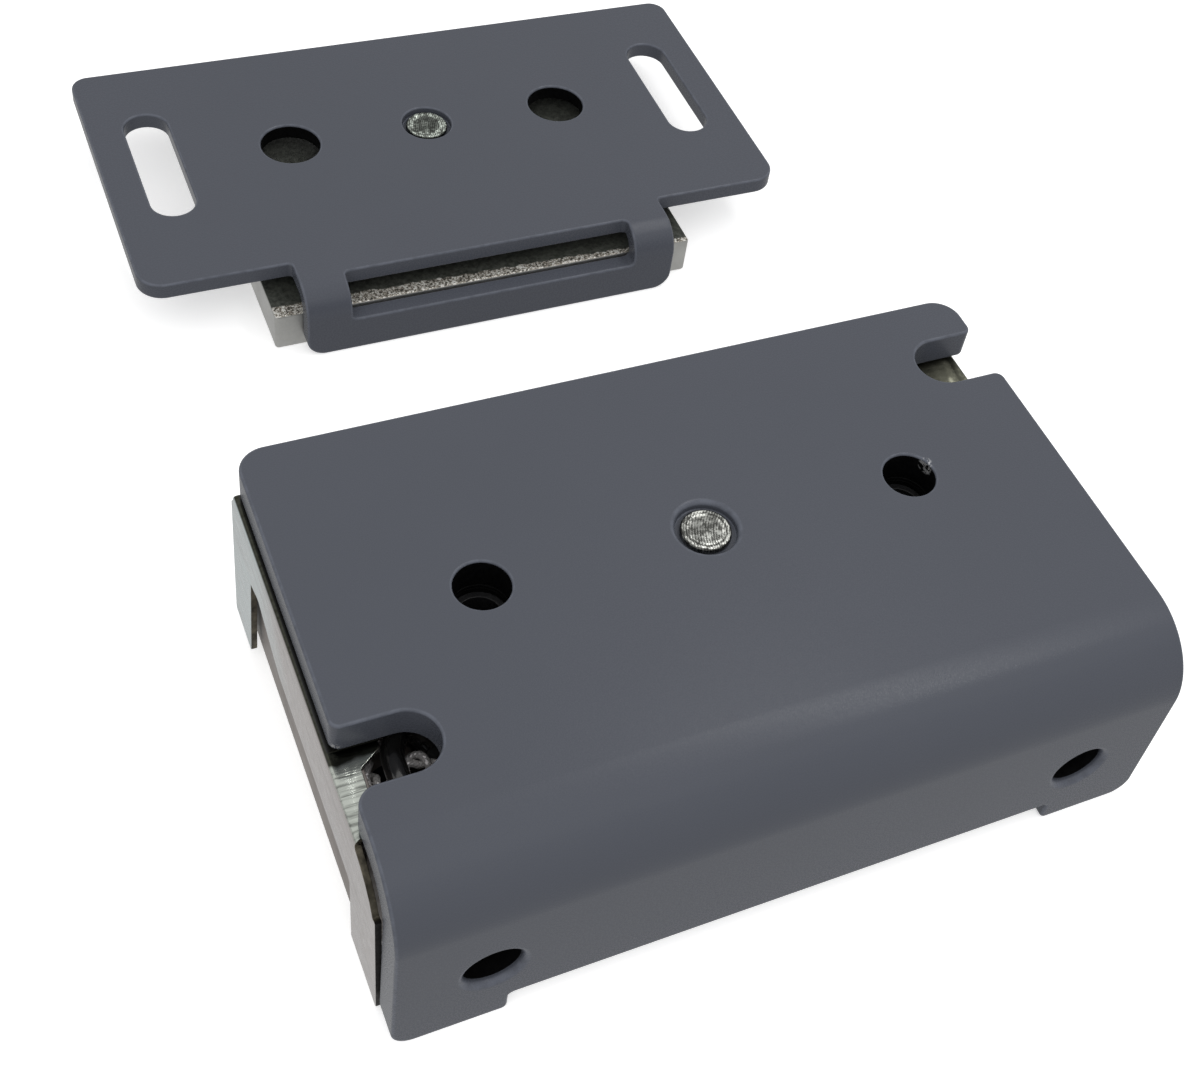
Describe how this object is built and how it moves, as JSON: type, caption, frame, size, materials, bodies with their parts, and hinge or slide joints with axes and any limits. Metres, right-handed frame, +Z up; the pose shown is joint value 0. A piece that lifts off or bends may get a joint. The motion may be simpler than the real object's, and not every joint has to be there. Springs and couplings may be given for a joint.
{
  "type": "electromagnetic_lock",
  "caption": "Electromagnetic door lock: painted cover over a zinc tray, core and coil, with a painted strike carrying a floating armature",
  "frame": {"origin": "centre of the magnet's working face (the end of the centre pole), on the axis of the rivet in the cover", "axes": "X runs along the lock's length, Y points from the lock toward its strike, Z points up, away from the working face to the cover's top"},
  "size_m": [0.129, 0.2058, 0.0386],
  "materials": {
    "paint": "satin, fine orange peel",
    "zinc_sheet": "satin zinc plating",
    "core_steel": "ground, oiled",
    "screw_steel": "zinc-plated",
    "bobbin_nylon": "moulded",
    "enamelled_copper": "varnished copper winding",
    "insulating_paper": "matte pressed paper",
    "black_resin": "cast black epoxy resin",
    "cast_block": "matte die-cast",
    "rivet_steel": "turned, bright",
    "rivet_dull": "dull zinc plating",
    "black_nylon": "moulded",
    "varistor_coat": "dipped epoxy coat",
    "lead_jacket": "smooth PVC jacket",
    "strand_jacket": "smooth PVC jacket",
    "zinc_bar": "zinc-plated, fine ground",
    "seat_rubber": "moulded"
  },
  "bodies": {
    "lock_body": {"cover_plate": "paint", "magnet_tray": "zinc_sheet", "yoke_plate": "core_steel", "centre_pole": "core_steel", "front_pole": "core_steel", "rear_pole": "core_steel", "pole_screws": "screw_steel", "coil_bobbin": "bobbin_nylon", "coil_winding": "enamelled_copper", "slot_insulation": "insulating_paper", "potting": "black_resin", "left_end_block": "cast_block", "right_end_block": "cast_block", "block_screws": "screw_steel", "centre_rivet": "rivet_steel", "rivet_spacer": "screw_steel", "access_bushes": "black_nylon", "surge_varistor": "varistor_coat", "supply_lead": "lead_jacket", "lead_plug": "black_nylon", "coil_lead_a": "strand_jacket", "coil_lead_b": "strand_jacket"},
    "strike": {"strike_plate": "paint"},
    "rubber_seat": {"rubber_washer": "seat_rubber"},
    "armature_body": {"armature": "zinc_bar", "armature_rivet": "rivet_dull", "backing_washer": "screw_steel"}
  },
  "joints": [
    {"name": "strike_slide", "type": "slide", "parent": "lock_body", "child": "strike", "axis": [0, 1, 0], "range_m": [0, 0.1]},
    {"name": "seat_squeeze", "type": "slide", "parent": "strike", "child": "rubber_seat", "axis": [0, 0, 1], "range_m": [0, 0.0006], "stiffness_N_per_m": 20000, "deforming": ["rubber_washer"]},
    {"name": "armature_rock", "type": "hinge", "parent": "rubber_seat", "child": "armature_body", "pos_m": [0, 0.1308, 0.0069], "axis": [0, 1, 0], "range_deg": [-1, 1], "stiffness_Nm_per_rad": 8}
  ]
}
